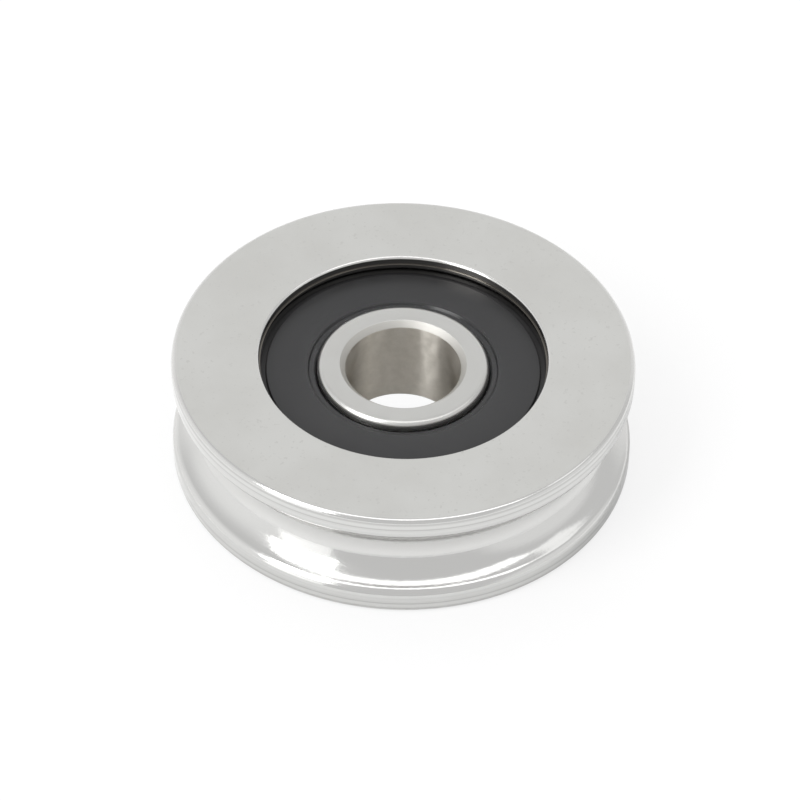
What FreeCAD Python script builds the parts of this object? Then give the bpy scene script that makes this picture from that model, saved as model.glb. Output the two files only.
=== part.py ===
import FreeCAD, Part
import math
import os

# U-groove track bearing: a thick outer ring with a round groove turned into its rim runs on
# one row of caged balls around a plain inner ring, with a rubber seal in each side.
# Sizes are in millimetres. The axis of rotation is +Z and the origin is the bearing's centre.

# Driving dimensions

# Boundary sizes
bore_diameter = 10.0
outside_diameter = 40.0
outer_ring_width = 11.0
inner_ring_width = 9.0

# Rim groove of the outer ring, and the edges of the rim and of the stepped recess above a seal
groove_radius = 3.3
groove_depth = 2.72
groove_lip_radius = 0.95
rim_edge_radius = 0.55
recess_step_depth = 0.75
recess_step_width = 0.12
recess_step_chamfer = 0.02
recess_edge_width = 0.21
recess_edge_depth = 0.13

# Balls and raceways
ball_diameter = 4.762
inner_race_wall = 2.6
race_clearance = 0.02
race_radius_allowance = 0.07
shoulder_height = 0.9

# Bore and seal land of the inner ring
bore_chamfer = 0.5
seal_land_wall = 2.45
land_edge_radius = 0.6

# Pressed ribbon cage and its rivets
cage_sheet = 0.5
cage_shoulder_gap = 0.35
pocket_clearance = 0.08
pocket_blend_radius = 0.3
rivet_diameter = 0.7
rivet_hole_clearance = 0.02
rivet_head_diameter = 1.3
rivet_head_height = 0.35
rivet_head_margin = 0.05

# Rubber seals and their snap seats in the outer ring
seal_thickness = 0.8
seal_cage_gap = 0.24
seal_shoulder_gap = 0.15
seal_seat_width = 0.83
snap_depth = 0.35
bead_thickness = 0.5
bead_clearance = 0.03
seal_edge_width = 0.46
seal_edge_radius = 0.12
lip_clearance = 0.05
lip_width = 0.6
lip_step = 0.22
lip_bevel = 0.15
lip_taper = 0.22

# Radii worked out from the bore outwards
bore_radius = bore_diameter / 2
ball_radius = ball_diameter / 2
inner_race_radius = bore_radius + inner_race_wall
pitch_radius = inner_race_radius + race_clearance + ball_radius
outer_race_radius = pitch_radius + ball_radius + race_clearance
race_arc_radius = ball_radius + race_radius_allowance
inner_shoulder_radius = inner_race_radius + shoulder_height
outer_shoulder_radius = outer_race_radius - shoulder_height
race_edge_height = math.sqrt(race_arc_radius**2 - (race_arc_radius - shoulder_height)**2)
seal_land_radius = bore_radius + seal_land_wall
recess_radius = outer_shoulder_radius + seal_seat_width
snap_radius = recess_radius + snap_depth
mouth_radius = recess_radius + recess_step_width
rim_radius = outside_diameter / 2

# Heights above the middle plane
outer_face = outer_ring_width / 2
inner_face = inner_ring_width / 2
pocket_inner_radius = ball_radius + pocket_clearance
pocket_outer_radius = pocket_inner_radius + cage_sheet
seal_seat = pocket_outer_radius + seal_cage_gap
seal_face = seal_seat + seal_thickness
bead_top = seal_seat + bead_thickness
shoulder_end = seal_seat - seal_shoulder_gap
recess_step = outer_face - recess_step_depth

# Cage radii, the foot of a pocket's blend, and the most balls that leave room for the rivet heads
cage_inner_radius = inner_shoulder_radius + cage_shoulder_gap
cage_outer_radius = outer_shoulder_radius - cage_shoulder_gap
blend_height = cage_sheet + pocket_blend_radius
blend_reach = pocket_outer_radius + pocket_blend_radius
pocket_foot_radius = math.sqrt(blend_reach**2 - blend_height**2)
ball_to_rivet = pocket_foot_radius + rivet_head_diameter / 2 + rivet_head_margin
ball_count = math.floor(math.pi / (2 * math.asin(ball_to_rivet / (2 * pitch_radius))))
ball_step = 360 / ball_count

ORIGIN = FreeCAD.Vector(0, 0, 0)
AXIS = FreeCAD.Vector(0, 0, 1)


def on_circle(centre, radius, angle):
    """Point of a half-section on a circle, at an angle in degrees from the outward direction."""
    turn = math.radians(angle)
    return (centre[0] + radius * math.cos(turn), centre[1] + radius * math.sin(turn))


def below(point):
    """The same point of a half-section on the other side of the middle plane."""
    return (point[0], -point[1])


def path(start, *steps):
    """Edges of a half-section from start: a point adds a line, a pair of points (via, end) an arc."""
    def place(point):
        return FreeCAD.Vector(point[0], 0, point[1])
    edges = []
    here = start
    for step in steps:
        if isinstance(step[0], tuple):
            via, end = step
            curve = Part.Arc(place(here), place(via), place(end))
        else:
            end = step
            curve = Part.LineSegment(place(here), place(end))
        edges.append(curve.toShape())
        here = end
    return edges


def mirrored(edges):
    """The same edges on the other side of the middle plane."""
    return [edge.mirror(ORIGIN, AXIS) for edge in edges]


def turned(edges):
    """Solid of revolution about the axis from the closed half-section that the edges make."""
    section = Part.Face(Part.Wire(Part.__sortEdges__(edges)))
    return section.revolve(ORIGIN, AXIS, 360)


def around(shape, angle):
    """Copy of a shape, turned about the bearing's axis."""
    copy = shape.copy()
    copy.rotate(ORIGIN, AXIS, angle)
    return copy


def on_pitch_circle(shape, angle):
    """Copy of a shape made on the axis, moved out to the pitch circle at an angle."""
    copy = shape.copy()
    copy.translate(FreeCAD.Vector(pitch_radius, 0, 0))
    return around(copy, angle)


def washer(inner, outer, height):
    """Flat ring that stands on the middle plane."""
    return Part.makeCylinder(outer, height).cut(Part.makeCylinder(inner, height))


def make_outer_ring():
    """Roller ring: U-groove in the rim, raceway inside, stepped recess and snap seat on each side."""
    groove_centre = (rim_radius - groove_depth + groove_radius, 0)
    lip_inset = groove_centre[0] - rim_radius + groove_lip_radius
    lip_height = math.sqrt((groove_radius + groove_lip_radius)**2 - lip_inset**2)
    lip_centre = (rim_radius - groove_lip_radius, lip_height)
    join_angle = -math.degrees(math.atan2(lip_height, lip_inset))
    groove_edge = on_circle(lip_centre, groove_lip_radius, join_angle)
    edge_centre = (rim_radius - rim_edge_radius, outer_face - rim_edge_radius)
    race_edge = (outer_shoulder_radius, race_edge_height)

    flank = path(
        race_edge,
        (outer_shoulder_radius, seal_seat),
        (snap_radius, seal_seat),
        (snap_radius, bead_top),
        (recess_radius, bead_top),
        (recess_radius, recess_step - recess_step_chamfer),
        (recess_radius + recess_step_chamfer, recess_step),
        (mouth_radius, recess_step),
        (mouth_radius, outer_face - recess_edge_depth),
        (mouth_radius + recess_edge_width, outer_face),
        (edge_centre[0], outer_face),
        (on_circle(edge_centre, rim_edge_radius, 45), (rim_radius, edge_centre[1])),
        (rim_radius, lip_height),
        (on_circle(lip_centre, groove_lip_radius, join_angle / 2), groove_edge),
    )
    groove = path(groove_edge, ((rim_radius - groove_depth, 0), below(groove_edge)))
    raceway = path(below(race_edge), ((outer_race_radius, 0), race_edge))
    return turned(raceway + flank + groove + mirrored(flank))


def make_inner_ring():
    """Ring with a chamfered bore, a raceway between two shoulders and a land for each seal lip."""
    bore_end = (bore_radius, inner_face - bore_chamfer)
    edge_centre = (seal_land_radius - land_edge_radius, inner_face - land_edge_radius)
    race_edge = (inner_shoulder_radius, race_edge_height)

    flank = path(
        bore_end,
        (bore_radius + bore_chamfer, inner_face),
        (edge_centre[0], inner_face),
        (on_circle(edge_centre, land_edge_radius, 45), (seal_land_radius, edge_centre[1])),
        (seal_land_radius, shoulder_end),
        (inner_shoulder_radius, shoulder_end),
        race_edge,
    )
    raceway = path(race_edge, ((inner_race_radius, 0), below(race_edge)))
    bore = path(below(bore_end), bore_end)
    return turned(bore + flank + raceway + mirrored(flank))


def make_seal():
    """Upper seal: a bead held in the snap seat, a raised flat face, and a lower lip at the land."""
    bead_radius = snap_radius - bead_clearance
    face_radius = recess_radius - seal_edge_width
    edge_centre = (face_radius - seal_edge_radius, seal_face - seal_edge_radius)
    lip_radius = seal_land_radius + lip_clearance
    lip_face = seal_face - lip_step
    step_radius = lip_radius + lip_width

    return turned(path(
        (lip_radius, seal_seat),
        (bead_radius, seal_seat),
        (bead_radius, bead_top),
        (face_radius, bead_top),
        (face_radius, edge_centre[1]),
        (on_circle(edge_centre, seal_edge_radius, 45), (edge_centre[0], seal_face)),
        (step_radius + lip_bevel, seal_face),
        (step_radius, lip_face),
        (lip_radius + lip_taper, lip_face),
        (lip_radius, lip_face - lip_taper),
        (lip_radius, seal_seat),
    ))


def make_pocket_cup():
    """Outer form of one cage pocket: a dome that blends into the flat land around its foot."""
    ball_centre = (0, 0)
    blend_centre = (pocket_foot_radius, blend_height)
    blend_angle = math.degrees(math.atan2(blend_height, pocket_foot_radius))
    dome_foot = on_circle(ball_centre, pocket_outer_radius, blend_angle)
    dome_top = (0, pocket_outer_radius)
    blend_via = on_circle(blend_centre, pocket_blend_radius, 225 + blend_angle / 2)

    return turned(path(
        ball_centre,
        (pocket_foot_radius, 0),
        (pocket_foot_radius, cage_sheet),
        (blend_via, dome_foot),
        (on_circle(ball_centre, pocket_outer_radius, (blend_angle + 90) / 2), dome_top),
        ball_centre,
    ))


def make_cage_half():
    """Upper half of the ribbon cage: a pocket over each ball, joined by lands with rivet holes."""
    land = washer(cage_inner_radius, cage_outer_radius, cage_sheet)
    ribbon = washer(cage_inner_radius, cage_outer_radius, pocket_outer_radius)
    cup = on_pitch_circle(make_pocket_cup(), 0).common(ribbon)
    hollow = on_pitch_circle(Part.makeSphere(pocket_inner_radius), 0)
    hole_radius = rivet_diameter / 2 + rivet_hole_clearance
    hole = on_pitch_circle(Part.makeCylinder(hole_radius, cage_sheet), ball_step / 2)
    pockets = [around(cup, k * ball_step) for k in range(ball_count)]
    openings = [around(cut, k * ball_step) for k in range(ball_count) for cut in (hollow, hole)]
    return land.fuse(pockets).cut(openings).removeSplitter()


def make_rivet():
    """Rivet on the axis: a shank through both cage lands with a domed head closed on each side."""
    shank_radius = rivet_diameter / 2
    head_radius = rivet_head_diameter / 2
    dome_radius = (head_radius**2 + rivet_head_height**2) / (2 * rivet_head_height)
    dome_centre = (0, cage_sheet + rivet_head_height - dome_radius)
    rim_angle = math.degrees(math.atan2(cage_sheet - dome_centre[1], head_radius))
    shank_end = (shank_radius, cage_sheet)
    dome_top = (0, cage_sheet + rivet_head_height)

    head = path(
        shank_end,
        (head_radius, cage_sheet),
        (on_circle(dome_centre, dome_radius, (rim_angle + 90) / 2), dome_top),
    )
    shank = path(below(shank_end), shank_end)
    core = path(dome_top, below(dome_top))
    return turned(shank + head + core + mirrored(head))


pieces = {
    "outer_ring": make_outer_ring(),
    "inner_ring": make_inner_ring(),
}

upper_seal = make_seal()
pieces["upper_seal"] = upper_seal
pieces["lower_seal"] = upper_seal.mirror(ORIGIN, AXIS)

upper_half = make_cage_half()
pieces["cage_half_upper"] = upper_half
pieces["cage_half_lower"] = upper_half.mirror(ORIGIN, AXIS)

ball = Part.makeSphere(ball_radius)
rivet = make_rivet()
for k in range(ball_count):
    pieces[f"ball_{k + 1}"] = on_pitch_circle(ball, k * ball_step)
    pieces[f"rivet_{k + 1}"] = on_pitch_circle(rivet, (k + 0.5) * ball_step)

os.makedirs("parts", exist_ok=True)
for name, shape in pieces.items():
    shape.exportStep(f"parts/{name}.step")
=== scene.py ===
import math

import bmesh
import bpy
from mathutils import Matrix, Vector


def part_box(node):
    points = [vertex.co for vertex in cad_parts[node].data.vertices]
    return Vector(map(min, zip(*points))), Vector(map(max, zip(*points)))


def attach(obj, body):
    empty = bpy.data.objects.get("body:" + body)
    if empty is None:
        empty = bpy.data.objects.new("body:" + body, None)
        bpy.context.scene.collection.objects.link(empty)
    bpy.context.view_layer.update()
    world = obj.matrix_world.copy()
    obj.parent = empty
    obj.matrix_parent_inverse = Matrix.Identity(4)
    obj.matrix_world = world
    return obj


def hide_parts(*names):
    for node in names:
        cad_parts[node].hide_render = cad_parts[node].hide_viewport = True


# U-groove bearing: the rings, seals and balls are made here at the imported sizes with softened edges;
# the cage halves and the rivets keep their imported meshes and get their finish.
# The bearing's sizes are in millimetres, the studio's in metres, and the axis of rotation is +Z.

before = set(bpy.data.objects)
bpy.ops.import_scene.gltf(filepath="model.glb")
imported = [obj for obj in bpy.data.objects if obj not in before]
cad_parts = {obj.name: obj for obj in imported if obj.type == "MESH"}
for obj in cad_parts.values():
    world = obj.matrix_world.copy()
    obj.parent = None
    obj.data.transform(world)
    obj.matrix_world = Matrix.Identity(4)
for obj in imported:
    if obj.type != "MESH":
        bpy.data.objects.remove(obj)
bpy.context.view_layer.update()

MM = 0.001
AXIS = (0, 0, 1)

# Fineness of the meshes
OUTER_RING_STEPS = 256
INNER_PIECE_STEPS = 192
RACE_ARC_STEPS = 12
RIM_ARC_STEPS = 16
GROOVE_ARC_STEPS = 24
LAND_ARC_STEPS = 10
SEAL_ARC_STEPS = 8
SOFT_EDGE_STEPS = 4
BALL_SEGMENTS = 64
BALL_RINGS = 32
SHARP_ANGLE = 40
NEVER_SHARP = 180
WELD_DISTANCE = 1e-7
SECTION_WELD_DISTANCE = 1e-8

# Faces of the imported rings
outer_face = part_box("outer_ring")[1].z / MM
inner_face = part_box("inner_ring")[1].z / MM
floor_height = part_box("outer_ring")[0].z

# Rim groove, edges and recess of the outer ring
rim_radius = 20.0
groove_radius = 3.3
groove_depth = 2.72
groove_lip_radius = 0.95
rim_edge_radius = 0.55
recess_step_depth = 0.75
recess_step_width = 0.12
recess_step_chamfer = 0.02
recess_edge_width = 0.21
recess_edge_depth = 0.13

# Bore and seal land of the inner ring
bore_radius = 5.0
bore_chamfer = 0.5
land_radius = 7.45
land_edge_radius = 0.6

# Balls and raceways
ball_count = 8
ball_radius = 2.381
inner_race_radius = 7.6
race_clearance = 0.02
race_radius_allowance = 0.07
shoulder_height = 0.9

# Seals and their seats
seal_seat = 3.201
seal_thickness = 0.8
seal_shoulder_gap = 0.15
seal_seat_width = 0.83
snap_depth = 0.35
bead_thickness = 0.5
bead_clearance = 0.03
seal_edge_width = 0.46
seal_edge_radius = 0.12
lip_clearance = 0.05
lip_width = 0.6
lip_step = 0.22
lip_bevel = 0.15
lip_taper = 0.22

# Radii worked out from the inner raceway and the land outwards
pitch_radius = inner_race_radius + race_clearance + ball_radius
outer_race_radius = pitch_radius + ball_radius + race_clearance
race_arc_radius = ball_radius + race_radius_allowance
inner_shoulder_radius = inner_race_radius + shoulder_height
outer_shoulder_radius = outer_race_radius - shoulder_height
recess_radius = outer_shoulder_radius + seal_seat_width
snap_radius = recess_radius + snap_depth
bead_radius = snap_radius - bead_clearance
mouth_radius = recess_radius + recess_step_width
seal_edge_start = recess_radius - seal_edge_width
lip_radius = land_radius + lip_clearance
lip_foot_radius = lip_radius + lip_width

# Heights above the middle plane, and the turn of a raceway's arc
race_turn = math.degrees(math.acos((race_arc_radius - shoulder_height) / race_arc_radius))
race_edge_height = race_arc_radius * math.sin(math.radians(race_turn))
shoulder_end = seal_seat - seal_shoulder_gap
bead_top = seal_seat + bead_thickness
seal_face = seal_seat + seal_thickness
lip_face = seal_face - lip_step
recess_step = outer_face - recess_step_depth


# Turned pieces

def start_section(r, z):
    """New mesh that holds the first point of a half-section, and that point."""
    section = bmesh.new()
    tip = bmesh.ops.create_vert(section, co=(r * MM, 0, z * MM))["vert"][0]
    return section, tip


def line_to(section, tip, r, z):
    """Draw a straight edge from the tip to a new point, which is the new tip."""
    end = bmesh.ops.extrude_vert_indiv(section, verts=[tip])["verts"][0]
    end.co = (r * MM, 0, z * MM)
    return end


def arc_about(section, tip, centre, degrees, steps):
    """Draw an arc from the tip about a centre, counter-clockwise where positive; gives the new tip."""
    swept = bmesh.ops.spin(
        section, geom=[tip], cent=(centre[0] * MM, 0, centre[1] * MM), axis=(0, -1, 0),
        angle=math.radians(degrees), steps=steps, use_duplicate=False)
    return [item for item in swept["geom_last"] if isinstance(item, bmesh.types.BMVert)][0]


def soften(section, corners):
    """Round the given corners of a half-section, each by its own small radius."""
    for corner, radius in corners:
        bmesh.ops.bevel(
            section, geom=[corner], offset=radius * MM, offset_type="OFFSET", affect="VERTICES",
            segments=SOFT_EDGE_STEPS, profile=0.5, material=-1, clamp_overlap=True)


def mirror_section(section):
    """Add the lower half of a section that is the same on both sides of the middle plane."""
    geom = section.verts[:] + section.edges[:]
    bmesh.ops.mirror(section, geom=geom, axis="Z", merge_dist=SECTION_WELD_DISTANCE)


def turn_section(section, steps):
    """Spin the half-section about the axis into a closed ring."""
    geom = section.verts[:] + section.edges[:]
    bmesh.ops.spin(
        section, geom=geom, cent=(0, 0, 0), axis=AXIS, angle=math.tau, steps=steps,
        use_merge=True, use_duplicate=False)
    bmesh.ops.remove_doubles(section, verts=section.verts[:], dist=WELD_DISTANCE)
    bmesh.ops.recalc_face_normals(section, faces=section.faces[:])


def finish_piece(name, shape, material, body, node, sharp_degrees=SHARP_ANGLE):
    """Make the object of a piece, smooth its faces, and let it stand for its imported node."""
    mesh = bpy.data.meshes.new(name)
    shape.to_mesh(mesh)
    shape.free()
    mesh.shade_smooth()
    mesh.set_sharp_from_angle(angle=math.radians(sharp_degrees))
    mesh.materials.append(material)
    piece = bpy.data.objects.new(name, mesh)
    bpy.context.scene.collection.objects.link(piece)
    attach(piece, body)
    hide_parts(node)
    return piece


def make_outer_ring(material):
    """Roller ring with the U-groove, the raceway, and a stepped recess on each side."""
    race_centre = (outer_race_radius - race_arc_radius, 0)
    groove_centre = (rim_radius - groove_depth + groove_radius, 0)
    lip_inset = groove_centre[0] - rim_radius + groove_lip_radius
    lip_height = math.sqrt((groove_radius + groove_lip_radius)**2 - lip_inset**2)
    lip_centre = (rim_radius - groove_lip_radius, lip_height)
    lip_turn = math.degrees(math.atan2(lip_height, lip_inset))
    edge_centre = (rim_radius - rim_edge_radius, outer_face - rim_edge_radius)

    section, tip = start_section(outer_race_radius, 0)
    race_edge = arc_about(section, tip, race_centre, race_turn, RACE_ARC_STEPS)
    seat_edge = line_to(section, race_edge, outer_shoulder_radius, seal_seat)
    snap_floor = line_to(section, seat_edge, snap_radius, seal_seat)
    snap_roof = line_to(section, snap_floor, snap_radius, bead_top)
    snap_edge = line_to(section, snap_roof, recess_radius, bead_top)
    step_foot = line_to(section, snap_edge, recess_radius, recess_step - recess_step_chamfer)
    step_edge = line_to(section, step_foot, recess_radius + recess_step_chamfer, recess_step)
    step_corner = line_to(section, step_edge, mouth_radius, recess_step)
    wall_top = line_to(section, step_corner, mouth_radius, outer_face - recess_edge_depth)
    recess_edge = line_to(section, wall_top, mouth_radius + recess_edge_width, outer_face)
    tip = line_to(section, recess_edge, edge_centre[0], outer_face)
    tip = arc_about(section, tip, edge_centre, -90, RIM_ARC_STEPS)
    tip = line_to(section, tip, rim_radius, lip_height)
    tip = arc_about(section, tip, lip_centre, -lip_turn, RIM_ARC_STEPS)
    arc_about(section, tip, groove_centre, lip_turn, GROOVE_ARC_STEPS)
    soften(section, [
        (race_edge, 0.06), (seat_edge, 0.08), (snap_floor, 0.06), (snap_roof, 0.06),
        (snap_edge, 0.05), (step_foot, 0.008), (step_edge, 0.008), (step_corner, 0.015),
        (wall_top, 0.12), (recess_edge, 0.03)])
    mirror_section(section)
    turn_section(section, OUTER_RING_STEPS)
    finish_piece("outer_ring_turned", section, material, "outer_ring", "outer_ring")


def make_inner_ring(material, bore_material):
    """Inner ring with a chamfered bore of its own finish, the raceway and a land for each seal lip."""
    race_centre = (inner_race_radius + race_arc_radius, 0)
    edge_centre = (land_radius - land_edge_radius, inner_face - land_edge_radius)
    bore_finish_radius = bore_radius + 0.012

    section, tip = start_section(bore_radius, 0)
    bore_end = line_to(section, tip, bore_radius, inner_face - bore_chamfer)
    bore_edge = line_to(section, bore_end, bore_radius + bore_chamfer, inner_face)
    tip = line_to(section, bore_edge, edge_centre[0], inner_face)
    tip = arc_about(section, tip, edge_centre, -90, LAND_ARC_STEPS)
    land_foot = line_to(section, tip, land_radius, shoulder_end)
    shoulder_edge = line_to(section, land_foot, inner_shoulder_radius, shoulder_end)
    race_edge = line_to(section, shoulder_edge, inner_shoulder_radius, race_edge_height)
    arc_about(section, race_edge, race_centre, race_turn, RACE_ARC_STEPS)
    soften(section, [
        (bore_end, 0.06), (bore_edge, 0.05), (land_foot, 0.08), (shoulder_edge, 0.08),
        (race_edge, 0.06)])
    mirror_section(section)
    turn_section(section, INNER_PIECE_STEPS)
    piece = finish_piece(
        "inner_ring_turned", section, material, "inner_ring", "inner_ring")
    piece.data.materials.append(bore_material)
    for face in piece.data.polygons:
        if face.center.xy.length < bore_finish_radius * MM:
            face.material_index = 1


def make_seal(name, node, side, material):
    """Rubber seal on the upper side (1) or the lower one (-1), with a bead in the snap seat, a raised
    flat face, and a thinner lip at the land."""
    edge_centre = (seal_edge_start - seal_edge_radius, seal_face - seal_edge_radius)

    section, lip_foot = start_section(lip_radius, seal_seat)
    bead_foot = line_to(section, lip_foot, bead_radius, seal_seat)
    bead_edge = line_to(section, bead_foot, bead_radius, bead_top)
    gutter = line_to(section, bead_edge, seal_edge_start, bead_top)
    tip = line_to(section, gutter, seal_edge_start, edge_centre[1])
    tip = arc_about(section, tip, edge_centre, 90, SEAL_ARC_STEPS)
    step_top = line_to(section, tip, lip_foot_radius + lip_bevel, seal_face)
    step_foot = line_to(section, step_top, lip_foot_radius, lip_face)
    lip_shelf = line_to(section, step_foot, lip_radius + lip_taper, lip_face)
    lip_edge = line_to(section, lip_shelf, lip_radius, lip_face - lip_taper)
    line_to(section, lip_edge, lip_radius, seal_seat)
    bmesh.ops.remove_doubles(section, verts=section.verts[:], dist=SECTION_WELD_DISTANCE)
    soften(section, [
        (bead_foot, 0.1), (bead_edge, 0.1), (gutter, 0.04), (step_top, 0.06), (step_foot, 0.03),
        (lip_shelf, 0.08), (lip_edge, 0.06)])
    bmesh.ops.scale(section, vec=(1, 1, side), verts=section.verts[:])
    turn_section(section, INNER_PIECE_STEPS)
    finish_piece(name, section, material, "outer_ring", node)


def make_ball(number, material):
    """One ball of the row, a fine sphere on the pitch circle."""
    turn = math.tau * (number - 1) / ball_count
    centre = Vector((math.cos(turn), math.sin(turn), 0)) * pitch_radius * MM
    sphere = bmesh.new()
    bmesh.ops.create_uvsphere(
        sphere, u_segments=BALL_SEGMENTS, v_segments=BALL_RINGS, radius=ball_radius * MM,
        matrix=Matrix.Translation(centre))
    name = f"ball_{number}"
    finish_piece(f"{name}_polished", sphere, material, name, name, NEVER_SHARP)


# Node helpers

def feed(tree, socket, value):
    """Link an input to a socket, or set it to a plain value."""
    if isinstance(value, bpy.types.NodeSocket):
        tree.links.new(value, socket)
    else:
        socket.default_value = value


def new_group(name, inputs, outputs):
    """Empty shader node group with named sockets, and its two end nodes."""
    group = bpy.data.node_groups.new(name, "ShaderNodeTree")
    for side, sockets in (("INPUT", inputs), ("OUTPUT", outputs)):
        for label, kind in sockets:
            group.interface.new_socket(name=label, in_out=side, socket_type=kind)
    return group, group.nodes.new("NodeGroupInput"), group.nodes.new("NodeGroupOutput")


def math_node(tree, operation, *values):
    """Math node whose inputs are sockets or plain numbers; gives its output."""
    node = tree.nodes.new("ShaderNodeMath")
    node.operation = operation
    for socket, value in zip(node.inputs, values):
        feed(tree, socket, value)
    return node.outputs[0]


def ramp_between(tree, value, low, high, to_low=0.0, to_high=1.0):
    """Smooth step of a value from one range to another."""
    node = tree.nodes.new("ShaderNodeMapRange")
    node.interpolation_type = "SMOOTHSTEP"
    tree.links.new(value, node.inputs["Value"])
    node.inputs["From Min"].default_value = low
    node.inputs["From Max"].default_value = high
    node.inputs["To Min"].default_value = to_low
    node.inputs["To Max"].default_value = to_high
    return node.outputs["Result"]


def noise(tree, vector, scale, detail, roughness):
    """Noise texture on a vector, with its scale a socket or a number; gives its value."""
    node = tree.nodes.new("ShaderNodeTexNoise")
    tree.links.new(vector, node.inputs["Vector"])
    feed(tree, node.inputs["Scale"], scale)
    node.inputs["Detail"].default_value = detail
    node.inputs["Roughness"].default_value = roughness
    return node.outputs["Fac"]


def mix(tree, data_type, socket_type, factor, first, second):
    """Mix node between two sockets or constants of one type by a mask; gives its output."""
    node = tree.nodes.new("ShaderNodeMix")
    node.data_type = data_type
    tree.links.new(factor, node.inputs["Factor"])
    for label, value in (("A", first), ("B", second)):
        socket = [s for s in node.inputs if s.name == label and s.type == socket_type][0]
        feed(tree, socket, value)
    return [s for s in node.outputs if s.type == socket_type][0]


def mix_colours(tree, factor, first, second):
    """Colour between two colours by a mask."""
    return mix(tree, "RGBA", "RGBA", factor, first, second)


def mix_values(tree, factor, first, second):
    """Value between two values by a mask."""
    return mix(tree, "FLOAT", "VALUE", factor, first, second)


def use_group(tree, group, place, **values):
    """Place a node group in a material, with its place and its own values."""
    node = tree.nodes.new("ShaderNodeGroup")
    node.node_tree = group
    tree.links.new(place, node.inputs["Place"])
    for label, value in values.items():
        node.inputs[label.replace("_", " ")].default_value = value
    return node.outputs


def new_material(name, metallic=1.0):
    """Material with a Principled shader; gives its tree, the shader and the place in millimetres."""
    material = bpy.data.materials.new(name)
    material.use_nodes = True
    tree = material.node_tree
    shader = tree.nodes["Principled BSDF"]
    shader.inputs["Metallic"].default_value = metallic
    coordinates = tree.nodes.new("ShaderNodeTexCoord")
    scale = tree.nodes.new("ShaderNodeMapping")
    scale.inputs["Scale"].default_value = (1 / MM, 1 / MM, 1 / MM)
    tree.links.new(coordinates.outputs["Object"], scale.inputs["Vector"])
    return material, tree, shader, scale.outputs["Vector"]


def bump(tree, shader, height, distance):
    """Feed a height into the shader's normal; the distance is in millimetres."""
    node = tree.nodes.new("ShaderNodeBump")
    node.inputs["Strength"].default_value = 1.0
    node.inputs["Distance"].default_value = distance * MM
    tree.links.new(height, node.inputs["Height"])
    tree.links.new(node.outputs["Normal"], shader.inputs["Normal"])


# Effects shared by the materials

def make_ring_place():
    """Radius from the axis and height from the middle plane, in the unit of the place."""
    group, start, end = new_group(
        "ring_place", [("Place", "NodeSocketVector")],
        [("Radius", "NodeSocketFloat"), ("Height", "NodeSocketFloat")])
    split = group.nodes.new("ShaderNodeSeparateXYZ")
    group.links.new(start.outputs["Place"], split.inputs[0])
    squares = [math_node(group, "POWER", split.outputs[label], 2.0) for label in ("X", "Y")]
    radius = math_node(group, "SQRT", math_node(group, "ADD", *squares))
    group.links.new(radius, end.inputs["Radius"])
    group.links.new(math_node(group, "ABSOLUTE", split.outputs["Z"]), end.inputs["Height"])
    return group


def make_turning_marks():
    """Fine lines that a tool leaves all the way round a turned or ground face."""
    group, start, end = new_group(
        "turning_marks", [("Place", "NodeSocketVector"), ("Lines per mm", "NodeSocketFloat")],
        [("Marks", "NodeSocketFloat")])
    ring = use_group(group, ring_place, start.outputs["Place"])
    join = group.nodes.new("ShaderNodeCombineXYZ")
    for label, source in (("X", "Radius"), ("Y", "Height")):
        stretched = math_node(group, "MULTIPLY", ring[source], start.outputs["Lines per mm"])
        group.links.new(stretched, join.inputs[label])
    lines = noise(group, join.outputs["Vector"], scale=1.0, detail=3.0, roughness=0.6)
    group.links.new(lines, end.inputs["Marks"])
    return group


def make_bare_metal():
    """Cloudy tone and tiny dull specks of bare handled steel."""
    group, start, end = new_group(
        "bare_metal",
        [("Place", "NodeSocketVector"), ("Cloud size", "NodeSocketFloat"),
         ("Speck size", "NodeSocketFloat")],
        [("Cloud", "NodeSocketFloat"), ("Specks", "NodeSocketFloat")])
    place = start.outputs["Place"]
    clouds = noise(group, place, start.outputs["Cloud size"], detail=4.0, roughness=0.6)
    group.links.new(ramp_between(group, clouds, 0.3, 0.7), end.inputs["Cloud"])
    specks = noise(group, place, start.outputs["Speck size"], detail=1.0, roughness=0.5)
    group.links.new(ramp_between(group, specks, 0.66, 0.74), end.inputs["Specks"])
    return group


def with_clouds(tree, metal, low, high):
    """Value that goes from one number to another with the clouds of the metal."""
    return ramp_between(tree, metal["Cloud"], 0.0, 1.0, low, high)


def with_marks(tree, marks, low, high):
    """Value that goes from one number to another with the marks of the tool."""
    return ramp_between(tree, marks["Marks"], 0.2, 0.8, low, high)


def on_side_face(tree, ring, face):
    """Mask that is full on a ring's flat side face, and fades out just below it."""
    return ramp_between(tree, ring["Height"], face - 0.05, face - 0.004)


ring_place = make_ring_place()
turning_marks = make_turning_marks()
bare_metal = make_bare_metal()


# Materials

# Colours, as the two ends of a range or as one tone
OUTER_FACE = [(0.534, 0.532, 0.514, 1), (0.567, 0.567, 0.551, 1)]
FACE_SPECK = (0.516, 0.514, 0.498, 1)
SCORED_LAND = [(0.44, 0.438, 0.429, 1), (0.585, 0.585, 0.575, 1)]
POLISHED_RIM = (0.566, 0.564, 0.554, 1)
# Painted shade: the steel inside the recess mouth gets a near-black colour, darkest on the ledge, so the
# recess reads as shaded
RECESS_PAINTED_SHADE = [(0.123, 0.115, 0.103, 1), (0.295, 0.287, 0.275, 1)]
INNER_FACE = [(0.503, 0.501, 0.486, 1), (0.521, 0.52, 0.506, 1)]
TURNED_CHAMFER = (0.46, 0.452, 0.43, 1)
WARM_BORE = [(0.585, 0.558, 0.508, 1), (0.655, 0.626, 0.575, 1)]
BORE_EDGE_TINT = (0.14, 0.13, 0.12, 1)
BLACK_RUBBER = [(0.0131, 0.0131, 0.0139, 1), (0.0156, 0.0156, 0.0164, 1)]
BALL_STEEL = [(0.72, 0.72, 0.72, 1), (0.76, 0.76, 0.755, 1)]
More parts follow.
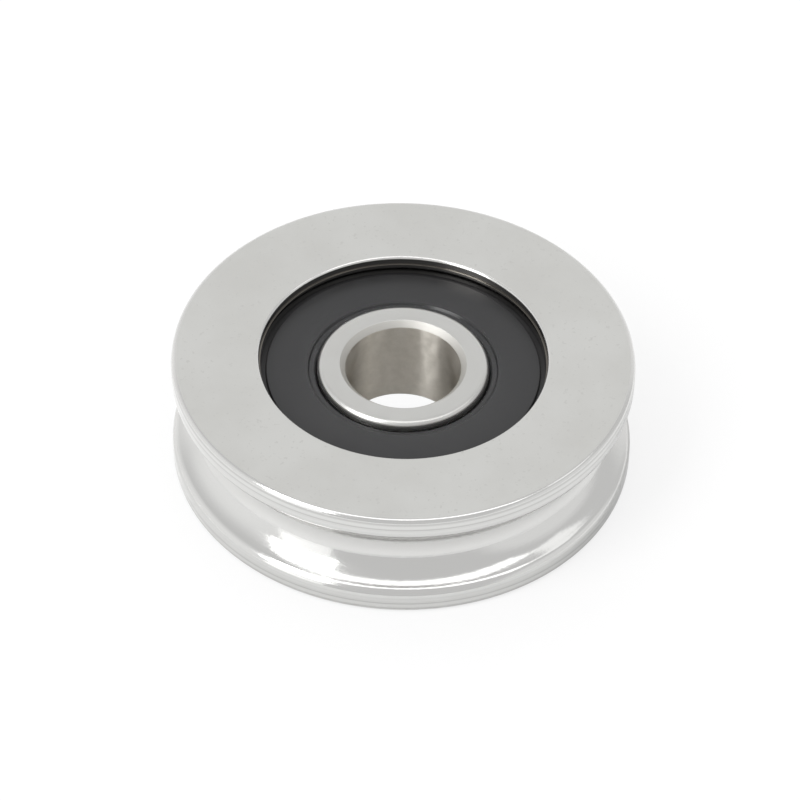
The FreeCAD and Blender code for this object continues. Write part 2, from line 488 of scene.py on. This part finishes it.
CAGE_STEEL = [(0.52, 0.51, 0.49, 1), (0.60, 0.59, 0.57, 1)]
RIVET_STEEL = [(0.48, 0.47, 0.45, 1), (0.56, 0.55, 0.53, 1)]

# Roughness, from the smoothest to the dullest places of a surface
OUTER_FACE_ROUGHNESS = (0.42, 0.46)
RIM_ROUGHNESS = (0.09, 0.15)
INNER_FACE_ROUGHNESS = (0.38, 0.44)
LAND_EDGE_ROUGHNESS = (0.24, 0.32)
CHAMFER_ROUGHNESS = (0.52, 0.62)
BORE_ROUGHNESS = (0.32, 0.37)
RUBBER_ROUGHNESS = (0.34, 0.42)
LIP_ROUGHNESS = 0.2
BALL_ROUGHNESS = (0.05, 0.09)
CAGE_ROUGHNESS = (0.32, 0.42)
RIVET_ROUGHNESS = (0.36, 0.46)


def make_outer_ring_steel():
    """Satin ground side faces, polished rim and groove, scored lands, and a turned recess darkened with
    painted shade.
    """
    material, tree, shader, place = new_material("outer_ring_steel_ground")
    ring = use_group(tree, ring_place, place)
    metal = use_group(tree, bare_metal, place, Cloud_size=0.14, Speck_size=3.0)
    fine = use_group(tree, turning_marks, place, Lines_per_mm=9.0)
    coarse = use_group(tree, turning_marks, place, Lines_per_mm=3.5)
    side_face = on_side_face(tree, ring, outer_face)
    in_recess = ramp_between(
        tree, ring["Radius"], mouth_radius + 0.001, mouth_radius + 0.014, 1.0, 0.0)
    from_ledge = math_node(tree, "ABSOLUTE", math_node(tree, "SUBTRACT", ring["Height"], recess_step))
    off_ledge = ramp_between(tree, from_ledge, 0.03, 0.06)
    on_land = ramp_between(tree, ring["Radius"], rim_radius - 0.12, rim_radius - 0.02)
    off_score = ramp_between(tree, coarse["Marks"], 0.36, 0.52)

    clean = mix_colours(tree, metal["Cloud"], *OUTER_FACE)
    ground = mix_colours(tree, metal["Specks"], clean, FACE_SPECK)
    scored = mix_colours(tree, off_score, *SCORED_LAND)
    rim = mix_colours(tree, on_land, POLISHED_RIM, scored)
    outside = mix_colours(tree, side_face, rim, ground)
    # painted shade inside the recess, darker on the ledge than on the wall
    recess = mix_colours(tree, off_ledge, *RECESS_PAINTED_SHADE)
    tree.links.new(mix_colours(tree, in_recess, outside, recess), shader.inputs["Base Color"])

    satin = with_clouds(tree, metal, *OUTER_FACE_ROUGHNESS)
    polished = with_marks(tree, fine, *RIM_ROUGHNESS)
    tree.links.new(mix_values(tree, side_face, polished, satin), shader.inputs["Roughness"])

    waves = noise(tree, place, scale=2.5, detail=2.0, roughness=0.5)
    broad = math_node(tree, "MULTIPLY", math_node(tree, "ADD", coarse["Marks"], waves), 2.0)
    lines = math_node(tree, "ADD", fine["Marks"], broad)
    grain = noise(tree, place, scale=12.0, detail=3.0, roughness=0.6)
    bump(tree, shader, mix_values(tree, side_face, lines, grain), distance=0.003)
    return material


def make_inner_ring_steel():
    """Fine ground ring with a smoother round edge at its land and a duller turned chamfer."""
    material, tree, shader, place = new_material("inner_ring_steel_ground")
    ring = use_group(tree, ring_place, place)
    metal = use_group(tree, bare_metal, place, Cloud_size=0.5)
    fine = use_group(tree, turning_marks, place, Lines_per_mm=10.0)
    side_face = on_side_face(tree, ring, inner_face)
    at_land = ramp_between(tree, ring["Radius"], bore_radius + 1.2, bore_radius + 1.5)

    bright = mix_colours(tree, metal["Cloud"], *INNER_FACE)
    off_face = mix_colours(tree, at_land, TURNED_CHAMFER, bright)
    tree.links.new(mix_colours(tree, side_face, off_face, bright), shader.inputs["Base Color"])

    ground = with_clouds(tree, metal, *INNER_FACE_ROUGHNESS)
    polished = with_marks(tree, fine, *LAND_EDGE_ROUGHNESS)
    turned = with_marks(tree, fine, *CHAMFER_ROUGHNESS)
    edge = mix_values(tree, at_land, turned, polished)
    tree.links.new(mix_values(tree, side_face, edge, ground), shader.inputs["Roughness"])
    bump(tree, shader, fine["Marks"], distance=0.0015)
    return material


def make_bore_steel():
    """Slightly warm bore whose fine grinding lines draw its reflections out along the axis."""
    material, tree, shader, place = new_material("inner_ring_bore_ground")
    metal = use_group(tree, bare_metal, place, Cloud_size=1.2)
    tree.links.new(mix_colours(tree, metal["Cloud"], *WARM_BORE), shader.inputs["Base Color"])
    tree.links.new(with_clouds(tree, metal, *BORE_ROUGHNESS), shader.inputs["Roughness"])
    around = tree.nodes.new("ShaderNodeTangent")
    around.direction_type = "RADIAL"
    around.axis = "Z"
    tree.links.new(around.outputs["Tangent"], shader.inputs["Tangent"])
    shader.inputs["Specular Tint"].default_value = BORE_EDGE_TINT
    shader.inputs["Anisotropic"].default_value = 1.0
    shader.inputs["Anisotropic Rotation"].default_value = 0.25
    return material


def make_seal_rubber():
    """Black moulded rubber with a fine matt grain and a smoother lip."""
    material, tree, shader, place = new_material("seal_rubber_moulded", metallic=0.0)
    ring = use_group(tree, ring_place, place)
    clouds = use_group(tree, bare_metal, place, Cloud_size=0.4)
    at_lip = ramp_between(
        tree, ring["Radius"], lip_foot_radius + 0.2, lip_foot_radius + 0.3, 1.0, 0.0)
    matt = with_clouds(tree, clouds, *RUBBER_ROUGHNESS)
    tree.links.new(mix_colours(tree, clouds["Cloud"], *BLACK_RUBBER), shader.inputs["Base Color"])
    tree.links.new(mix_values(tree, at_lip, matt, LIP_ROUGHNESS), shader.inputs["Roughness"])
    bump(tree, shader, noise(tree, place, scale=14.0, detail=2.0, roughness=0.5), distance=0.002)
    shader.inputs["Specular IOR Level"].default_value = 0.41
    return material


def make_ball_steel():
    """Mirror-polished ball."""
    material, tree, shader, place = new_material("ball_steel_polished")
    metal = use_group(tree, bare_metal, place, Cloud_size=1.2)
    tree.links.new(mix_colours(tree, metal["Cloud"], *BALL_STEEL), shader.inputs["Base Color"])
    tree.links.new(with_clouds(tree, metal, *BALL_ROUGHNESS), shader.inputs["Roughness"])
    return material


def make_sheet_steel(name, colours, roughness):
    """Pressed or headed low-carbon steel with a fine grain."""
    material, tree, shader, place = new_material(name)
    metal = use_group(tree, bare_metal, place, Cloud_size=0.9)
    tree.links.new(mix_colours(tree, metal["Cloud"], *colours), shader.inputs["Base Color"])
    tree.links.new(with_clouds(tree, metal, *roughness), shader.inputs["Roughness"])
    bump(tree, shader, noise(tree, place, scale=16.0, detail=3.0, roughness=0.6), distance=0.003)
    return material


def dress_node(node, material):
    """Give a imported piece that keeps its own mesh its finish."""
    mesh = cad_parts[node].data
    mesh.materials.clear()
    mesh.materials.append(material)


make_outer_ring(make_outer_ring_steel())
make_inner_ring(make_inner_ring_steel(), make_bore_steel())

seal_rubber = make_seal_rubber()
make_seal("upper_seal_moulded", "upper_seal", 1, seal_rubber)
make_seal("lower_seal_moulded", "lower_seal", -1, seal_rubber)

ball_steel = make_ball_steel()
cage_steel = make_sheet_steel("cage_steel_pressed", CAGE_STEEL, CAGE_ROUGHNESS)
rivet_steel = make_sheet_steel("rivet_steel_headed", RIVET_STEEL, RIVET_ROUGHNESS)
for node in ("cage_half_upper", "cage_half_lower"):
    dress_node(node, cage_steel)
for number in range(1, ball_count + 1):
    make_ball(number, ball_steel)
    dress_node(f"rivet_{number}", rivet_steel)


# Floor, studio light and camera

FLOOR_RADIUS = 3.0
FLOOR_GAP = 0.02 * MM
FLOOR_TONE = (0.78, 0.78, 0.78, 1)
GLOW_TONE = (0.965, 0.965, 0.965, 1)
GLOW_SHARE = 0.8
# Painted light: within this radius, under the bore where the bearing shades the floor, the floor glows in
# full where it is seen directly
BORE_PAINTED_LIGHT_RADIUS = 2 * bore_radius * MM
BORE_PAINTED_LIGHT_FADE_RADIUS = 1.2 * BORE_PAINTED_LIGHT_RADIUS

# Even light of the surroundings, and for each brighter side its azimuth in degrees, the cosines where
# its glow starts and is full, and its extra strength
EVEN_LIGHT = 0.896
BRIGHTER_SIDES = [(90, 0.52, 0.72, 0.244), (180, 0.5, 1.0, 0.366), (345, 0.75, 0.92, 0.22)]

# Softboxes: name, place, target, width, height, radiance, and lean in degrees
SOFTBOXES = [
    ("overhead_softbox", (0.03, -0.108, 0.5), (0.03, 0, 0), 0.68, 0.147, 1.46, 0),
    ("right_softbox", (0.31, 0.055, 0.389), (0, 0, 0), 0.18, 0.12, 0.61, 20),
    ("left_softbox", (-0.421, -0.27, 0.7), (0, 0, 0.7), 0.31, 0.83, 6.8, 13),
    ("left_skirt", (-0.357, -0.351, 0.145), (0, 0, 0.145), 0.24, 0.29, 0.73, 0)]

# Fill lights: name, place, target, side, radiance, and spread in degrees
FILLS = [
    ("back_fill", (-0.15, 0.4, 0.5), (0, 0, 0), 0.6, 0.98, 180),
    ("left_fill", (-0.054, -0.034, 0.25), (-0.054, -0.034, 0), 0.04, 1.1, 8),
    ("bore_fill", (0, 0, 0.25), (0, 0, 0), 0.008, 7.0, 3)]

# Camera fitted to the photograph
CAMERA_ELEVATION = 44.3
CAMERA_DISTANCE = 0.37933
CAMERA_ROLL = 1.45
CAMERA_NEAR = 0.01
SENSOR_WIDTH = 36
FOCAL_PIXELS = 4362.0
FRAME_PIXELS = 800
CENTRE_RIGHT_PIXELS = 2.35
CENTRE_DOWN_PIXELS = 0.75


def make_floor_white():
    """Matt white that glows a little where it is seen directly, as an overexposed sweep does, and glows
    in full under the bore: painted light over the shade that the bearing casts there.
    """
    material = bpy.data.materials.new("floor_white")
    material.use_nodes = True
    tree = material.node_tree
    shader = tree.nodes["Principled BSDF"]
    shader.inputs["Base Color"].default_value = FLOOR_TONE
    shader.inputs["Roughness"].default_value = 0.9
    shader.inputs["Specular IOR Level"].default_value = 0.1
    glow = tree.nodes.new("ShaderNodeEmission")
    glow.inputs["Color"].default_value = GLOW_TONE
    coordinates = tree.nodes.new("ShaderNodeTexCoord")
    ring = use_group(tree, ring_place, coordinates.outputs["Object"])
    # painted light: the glow share rises to full under the bore, over the bearing's shade
    glow_share_and_bore_painted_light = ramp_between(tree, ring["Radius"], BORE_PAINTED_LIGHT_RADIUS, BORE_PAINTED_LIGHT_FADE_RADIUS, 1.0, GLOW_SHARE)
    path = tree.nodes.new("ShaderNodeLightPath")
    blend = tree.nodes.new("ShaderNodeMixShader")
    tree.links.new(math_node(tree, "MULTIPLY", path.outputs["Is Camera Ray"], glow_share_and_bore_painted_light), blend.inputs["Fac"])
    tree.links.new(shader.outputs["BSDF"], blend.inputs[1])
    tree.links.new(glow.outputs["Emission"], blend.inputs[2])
    tree.links.new(blend.outputs["Shader"], tree.nodes["Material Output"].inputs["Surface"])
    return material


def make_floor():
    """White table that the bearing lies on."""
    table = bmesh.new()
    bmesh.ops.create_circle(
        table, cap_ends=True, segments=96, radius=FLOOR_RADIUS,
        matrix=Matrix.Translation((0, 0, floor_height - FLOOR_GAP)))
    mesh = bpy.data.meshes.new("floor")
    table.to_mesh(mesh)
    table.free()
    mesh.materials.append(make_floor_white())
    floor = bpy.data.objects.new("floor", mesh)
    bpy.context.scene.collection.objects.link(floor)


def make_softbox(name, place, target, width, height, radiance, lean):
    """Rectangular studio light at a place, turned to a target and leaning by an angle."""
    light = bpy.data.lights.new(name, "AREA")
    light.shape = "RECTANGLE"
    light.size = width
    light.size_y = height
    light.energy = radiance * math.pi * width * height
    softbox = bpy.data.objects.new(name, light)
    aim = (Vector(target) - Vector(place)).to_track_quat("-Z", "Y").to_matrix().to_4x4()
    turn = Matrix.Rotation(math.radians(lean), 4, "Z")
    softbox.matrix_world = Matrix.Translation(place) @ aim @ turn
    softbox.visible_camera = False
    bpy.context.scene.collection.objects.link(softbox)
    return softbox


def make_fill(name, place, target, side, radiance, spread):
    """Square light that no metal mirrors, so that it only brightens matt surfaces such as the floor."""
    fill = make_softbox(name, place, target, side, side, radiance, 0)
    fill.data.spread = math.radians(spread)
    fill.visible_glossy = False


def make_world():
    """Even surroundings, a little brighter behind the bearing and on both sides of it."""
    world = bpy.data.worlds.new("studio")
    world.use_nodes = True
    tree = world.node_tree
    coordinates = tree.nodes.new("ShaderNodeTexCoord")
    strength = EVEN_LIGHT
    for azimuth, start, full, extra in BRIGHTER_SIDES:
        turn = math.radians(azimuth)
        facing = tree.nodes.new("ShaderNodeVectorMath")
        facing.operation = "DOT_PRODUCT"
        tree.links.new(coordinates.outputs["Generated"], facing.inputs[0])
        facing.inputs[1].default_value = (math.cos(turn), math.sin(turn), 0)
        glow = ramp_between(tree, facing.outputs["Value"], start, full, 0.0, extra)
        strength = math_node(tree, "ADD", glow, strength)
    background = tree.nodes["Background"]
    background.inputs["Color"].default_value = (1, 1, 1, 1)
    tree.links.new(strength, background.inputs["Strength"])
    bpy.context.scene.world = world


def make_camera():
    """Camera at the photograph's viewing angle."""
    camera = bpy.data.cameras.new("camera")
    camera.sensor_width = SENSOR_WIDTH
    camera.lens = FOCAL_PIXELS * SENSOR_WIDTH / FRAME_PIXELS
    camera.shift_x = -CENTRE_RIGHT_PIXELS / FRAME_PIXELS
    camera.shift_y = CENTRE_DOWN_PIXELS / FRAME_PIXELS
    camera.clip_start = CAMERA_NEAR
    holder = bpy.data.objects.new("camera", camera)
    rise = math.radians(CAMERA_ELEVATION)
    place = Vector((0, -math.cos(rise), math.sin(rise))) * CAMERA_DISTANCE
    aim = (-place).to_track_quat("-Z", "Y").to_matrix().to_4x4()
    roll = Matrix.Rotation(math.radians(CAMERA_ROLL), 4, "Z")
    holder.matrix_world = Matrix.Translation(place) @ aim @ roll
    bpy.context.scene.collection.objects.link(holder)
    bpy.context.scene.camera = holder


make_floor()
make_world()
for softbox in SOFTBOXES:
    make_softbox(*softbox)
for fill in FILLS:
    make_fill(*fill)
make_camera()
bpy.context.scene.view_settings.view_transform = "Standard"
